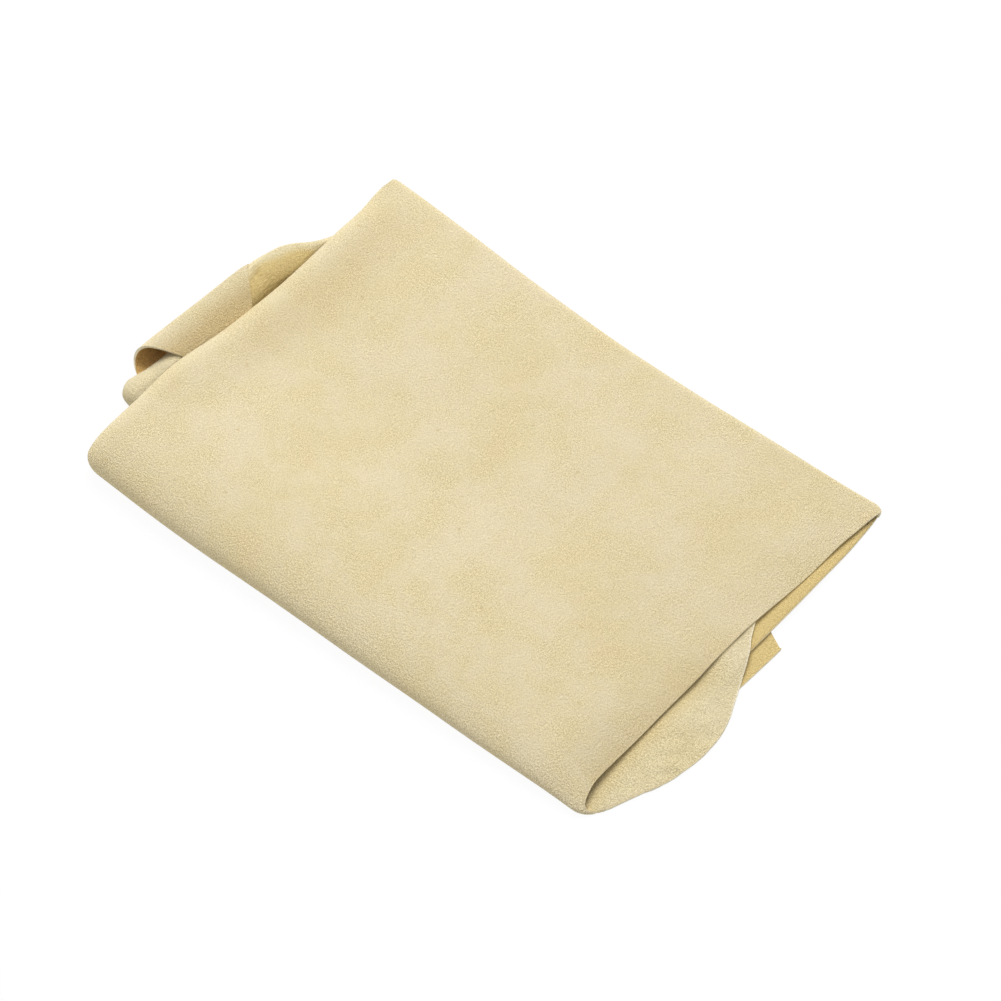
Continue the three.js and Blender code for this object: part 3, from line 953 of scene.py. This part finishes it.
def lay_floor(scene):
    bm = bmesh.new()
    bmesh.ops.create_grid(bm, x_segments=1, y_segments=1, size=FLOOR_HALF)
    mesh = bpy.data.meshes.new("floor")
    bm.to_mesh(mesh)
    bm.free()
    mesh.materials.append(floor_finish(scene.chamois_colours))
    floor = bpy.data.objects.new("floor", mesh)
    floor.location.z = -FLOOR_GAP
    scene.collection.objects.link(floor)


def light_stage(scene):
    """An even white sky and one wide soft lamp, high up behind the packet on its left."""
    world = bpy.data.worlds.new("studio")
    world.use_nodes = True
    sky = world.node_tree.nodes["Background"]
    sky.inputs["Color"].default_value = (1.0, 1.0, 1.0, 1.0)
    sky.inputs["Strength"].default_value = SKY_STRENGTH
    scene.world = world
    lamp = bpy.data.lights.new("overhead softbox", "AREA")
    lamp.shape = "DISK"
    lamp.size = LAMP_WIDTH
    lamp.energy = LAMP_POWER
    light = bpy.data.objects.new("overhead softbox", lamp)
    light.location = LAMP_PLACE
    light.rotation_euler = (-light.location).to_track_quat("-Z", "Y").to_euler()
    scene.collection.objects.link(light)


def aim_camera(scene):
    """A long lens, looking down on the packet from beyond its right front corner."""
    azimuth, elevation = math.radians(CAMERA_AZIMUTH), math.radians(CAMERA_ELEVATION)
    target = CAMERA_TARGET * MM + PACKET_ORIGIN
    away = Vector((
        math.sin(azimuth) * math.cos(elevation),
        -math.cos(azimuth) * math.cos(elevation),
        math.sin(elevation),
    ))
    lens = bpy.data.cameras.new("camera")
    lens.lens = CAMERA_LENS
    lens.sensor_width = CAMERA_SENSOR
    lens.clip_end = CAMERA_CLIP
    camera = bpy.data.objects.new("camera", lens)
    camera.location = target + away * CAMERA_DISTANCE
    camera.rotation_euler = away.to_track_quat("Z", "Y").to_euler()
    scene.collection.objects.link(camera)
    scene.camera = camera


class CHAMOIS_OT_stage(bpy.types.Operator):
    """Floor, soft studio light and the camera"""

    bl_idname = "chamois.stage"
    bl_label = "Stage"

    def execute(self, context):
        scene = context.scene
        scene.view_settings.view_transform = "Standard"
        lay_floor(scene)
        light_stage(scene)
        aim_camera(scene)
        return {"FINISHED"}


class CHAMOIS_PT_packet(bpy.types.Panel):
    """The packet's sizes, colours and pieces"""

    bl_label = "Folded chamois"
    bl_idname = "CHAMOIS_PT_packet"
    bl_space_type = "VIEW_3D"
    bl_region_type = "UI"
    bl_category = "Chamois"

    def draw(self, context):
        for group in (context.scene.chamois_sizes, context.scene.chamois_colours):
            for key in group.bl_rna.properties.keys():
                if key not in {"rna_type", "name"}:
                    self.layout.prop(group, key)
        for operator in OPERATORS:
            self.layout.operator(operator.bl_idname)


OPERATORS = (
    CHAMOIS_OT_leather,
    CHAMOIS_OT_upper_skin,
    CHAMOIS_OT_back_leaf,
    CHAMOIS_OT_front_fold,
    CHAMOIS_OT_front_leaf,
    CHAMOIS_OT_rolled_margin,
    CHAMOIS_OT_rolled_leg,
    CHAMOIS_OT_turned_corner,
    CHAMOIS_OT_stage,
)
CLASSES = (ChamoisSizes, ChamoisColours, *OPERATORS, CHAMOIS_PT_packet)


def register():
    for cls in CLASSES:
        bpy.utils.register_class(cls)
    bpy.types.Scene.chamois_sizes = bpy.props.PointerProperty(type=ChamoisSizes)
    bpy.types.Scene.chamois_colours = bpy.props.PointerProperty(type=ChamoisColours)


def unregister():
    del bpy.types.Scene.chamois_colours
    del bpy.types.Scene.chamois_sizes
    for cls in reversed(CLASSES):
        bpy.utils.unregister_class(cls)


def main():
    register()
    bpy.ops.chamois.leather()
    bpy.ops.chamois.upper_skin()
    bpy.ops.chamois.back_leaf()
    bpy.ops.chamois.front_fold()
    bpy.ops.chamois.front_leaf()
    bpy.ops.chamois.rolled_margin()
    bpy.ops.chamois.rolled_leg()
    bpy.ops.chamois.turned_corner()
    bpy.ops.chamois.stage()


if __name__ == "__main__":
    main()
